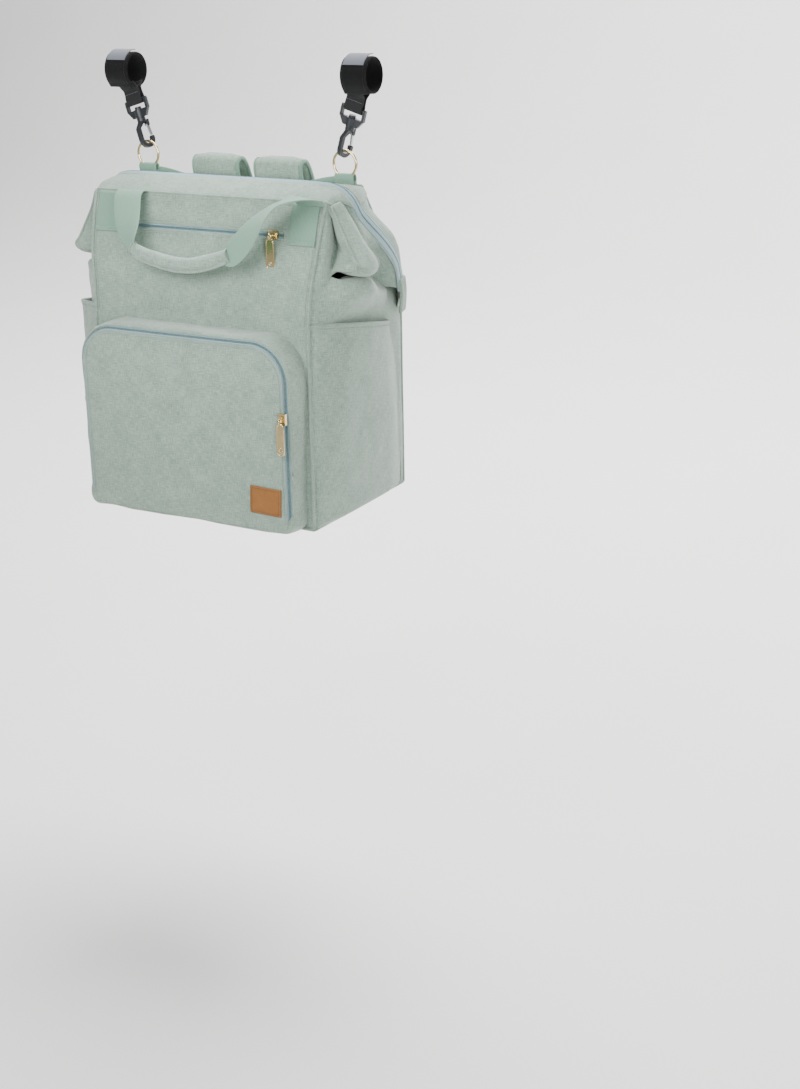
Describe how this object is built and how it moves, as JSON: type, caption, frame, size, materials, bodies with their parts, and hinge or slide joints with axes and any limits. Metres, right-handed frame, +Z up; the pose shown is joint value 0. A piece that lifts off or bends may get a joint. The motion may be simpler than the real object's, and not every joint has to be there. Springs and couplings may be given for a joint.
{
  "type": "diaper bag",
  "caption": "Doctor-bag style nappy changing backpack in melange fabric, with hinged wire mouth, front and side pockets, straps, and snap hooks that hang it from a stroller handlebar.",
  "frame": {"origin": "on the handlebar's axis, midway between the two gripping straps", "axes": "+X along the handlebar to the right of the bag's front, +Y from the front pocket towards the wearer's side, +Z up"},
  "size_m": [0.3804, 0.255, 0.4935],
  "materials": {
    "body_fabric": "melange canvas weave",
    "webbing": "ribbed webbing",
    "zip_tape": "zip tape with coil",
    "pale_gold": "pale polished gold plate",
    "patch_leather": "stitched tan patch",
    "strap_black": "black hook-and-loop webbing",
    "label_grey": "plain woven label",
    "hook_plastic": "moulded dark grey",
    "wire_steel": "drawn wire",
    "lining_cloth": "smooth lining",
    "stiffener": "plain board"
  },
  "bodies": {
    "stroller_straps": {"left_grip_strap": "strap_black", "right_grip_strap": "strap_black", "strap_labels": "label_grey", "hook_webbing": "strap_black", "left_hook_eye": "hook_plastic", "right_hook_eye": "hook_plastic"},
    "left_hook": {"left_hook_body": "hook_plastic"},
    "right_hook": {"right_hook_body": "hook_plastic"},
    "left_gate": {"left_hook_gate": "wire_steel"},
    "right_gate": {"right_hook_gate": "wire_steel"},
    "left_ring": {"left_ring": "pale_gold"},
    "right_ring": {"right_ring": "pale_gold"},
    "bag": {"ring_tabs": "webbing", "base_panel": "body_fabric", "base_board": "stiffener", "front_panel": "body_fabric", "back_panel": "body_fabric", "back_foam_pad": "body_fabric", "left_side_panel": "body_fabric", "right_side_panel": "body_fabric", "left_gusset": "body_fabric", "right_gusset": "body_fabric", "left_side_pocket": "body_fabric", "right_side_pocket": "body_fabric", "pocket_bindings": "webbing", "lining": "lining_cloth", "inner_pocket": "lining_cloth", "pocket_walls": "body_fabric", "pocket_lower_face": "body_fabric", "leather_patch": "patch_leather", "back_frame_wire": "wire_steel", "frame_rivets": "wire_steel", "back_top_panel": "body_fabric", "back_zip_tape": "zip_tape", "left_side_zip": "zip_tape", "right_side_zip": "zip_tape", "zip_end_tabs": "body_fabric", "left_shoulder_strap": "body_fabric", "right_shoulder_strap": "body_fabric", "strap_webbing": "webbing", "strap_adjusters": "hook_plastic", "seam_piping": "body_fabric"},
    "front_frame": {"front_frame_wire": "wire_steel", "front_upper_panel": "body_fabric", "upper_zip": "zip_tape", "upper_pocket": "lining_cloth", "front_top_panel": "body_fabric", "front_zip_tape": "zip_tape", "handle_anchors": "webbing"},
    "upper_slider": {"upper_slider": "pale_gold"},
    "upper_pull": {"upper_pull": "pale_gold"},
    "front_handle": {"handle_webbing": "webbing", "handle_grip": "body_fabric"},
    "pocket_flap": {"pocket_flap": "body_fabric", "pocket_zip": "zip_tape"},
    "pocket_slider": {"pocket_slider": "pale_gold"},
    "pocket_pull": {"pocket_pull": "pale_gold"},
    "main_slider": {"main_slider": "pale_gold"},
    "main_pull": {"main_pull": "pale_gold"}
  },
  "joints": [
    {"name": "left_ring_swing", "type": "hinge", "parent": "stroller_straps", "child": "left_ring", "pos_m": [-0.1307, 0, -0.0786], "axis": [1, 0, 0], "range_deg": [-15, 15]},
    {"name": "right_ring_swing", "type": "hinge", "parent": "stroller_straps", "child": "right_ring", "pos_m": [0.1307, 0, -0.0786], "axis": [1, 0, 0], "range_deg": [-15, 15]},
    {"name": "bag_swing", "type": "hinge", "parent": "left_ring", "child": "bag", "pos_m": [0, 0, -0.1066], "axis": [1, 0, 0], "range_deg": [-15, 15]},
    {"name": "left_hook_swivel", "type": "hinge", "parent": "stroller_straps", "child": "left_hook", "pos_m": [-0.1543, 0, 0], "axis": [-0.2876, 0, 0.9578], "range_deg": [-15, 15]},
    {"name": "right_hook_swivel", "type": "hinge", "parent": "stroller_straps", "child": "right_hook", "pos_m": [0.1543, 0, 0], "axis": [0.2876, 0, 0.9578], "range_deg": [-15, 15]},
    {"name": "left_gate_open", "type": "hinge", "parent": "left_hook", "child": "left_gate", "pos_m": [-0.13494, 0.0065, -0.06049], "axis": [-0.9432, 0.1736, -0.2832], "range_deg": [0, 22], "stiffness_Nm_per_rad": 0.04},
    {"name": "right_gate_open", "type": "hinge", "parent": "right_hook", "child": "right_gate", "pos_m": [0.13714, 0.0065, -0.06115], "axis": [-0.9432, 0.1736, 0.2832], "range_deg": [0, 22], "stiffness_Nm_per_rad": 0.04},
    {"name": "front_frame_open", "type": "hinge", "parent": "bag", "child": "front_frame", "pos_m": [0, -0.0579, -0.1904], "axis": [1, 0, 0], "range_deg": [0, 35]},
    {"name": "front_handle_raise", "type": "hinge", "parent": "front_frame", "child": "front_handle", "pos_m": [0, -0.0804, -0.1189], "axis": [-1, 0, 0], "range_deg": [0, 150]},
    {"name": "upper_zip_slide", "type": "slide", "parent": "front_frame", "child": "upper_slider", "axis": [-1, 0, 0], "range_m": [0, 0.184]},
    {"name": "upper_pull_swing", "type": "hinge", "parent": "upper_slider", "child": "upper_pull", "pos_m": [0.092, -0.09161, -0.1584], "axis": [-1, 0, 0], "range_deg": [0, 35]},
    {"name": "pocket_flap_open", "type": "hinge", "parent": "bag", "child": "pocket_flap", "pos_m": [0, -0.1394, -0.3814], "axis": [1, 0, 0], "range_deg": [0, 50]},
    {"name": "pocket_zip_slide", "type": "slide", "parent": "pocket_flap", "child": "pocket_slider", "axis": [0, 0, 1], "range_m": [0, 0.034]},
    {"name": "pocket_pull_swing", "type": "hinge", "parent": "pocket_slider", "child": "pocket_pull", "pos_m": [0.1315, -0.149, -0.3414], "axis": [-1, 0, 0], "range_deg": [0, 140]},
    {"name": "main_zip_slide", "type": "slide", "parent": "bag", "child": "main_slider", "axis": [0, -0.7255, 0.6883], "range_m": [0, 0.08]},
    {"name": "main_pull_swing", "type": "hinge", "parent": "main_slider", "child": "main_pull", "pos_m": [-0.1756, 0.0381, -0.2034], "axis": [0, 1, 0], "range_deg": [0, 140]}
  ],
  "couplings": [
    {"joint": "right_ring_swing", "follows": "left_ring_swing", "ratio": 1},
    {"joint": "upper_pull_swing", "follows": "front_frame_open", "ratio": 1}
  ]
}
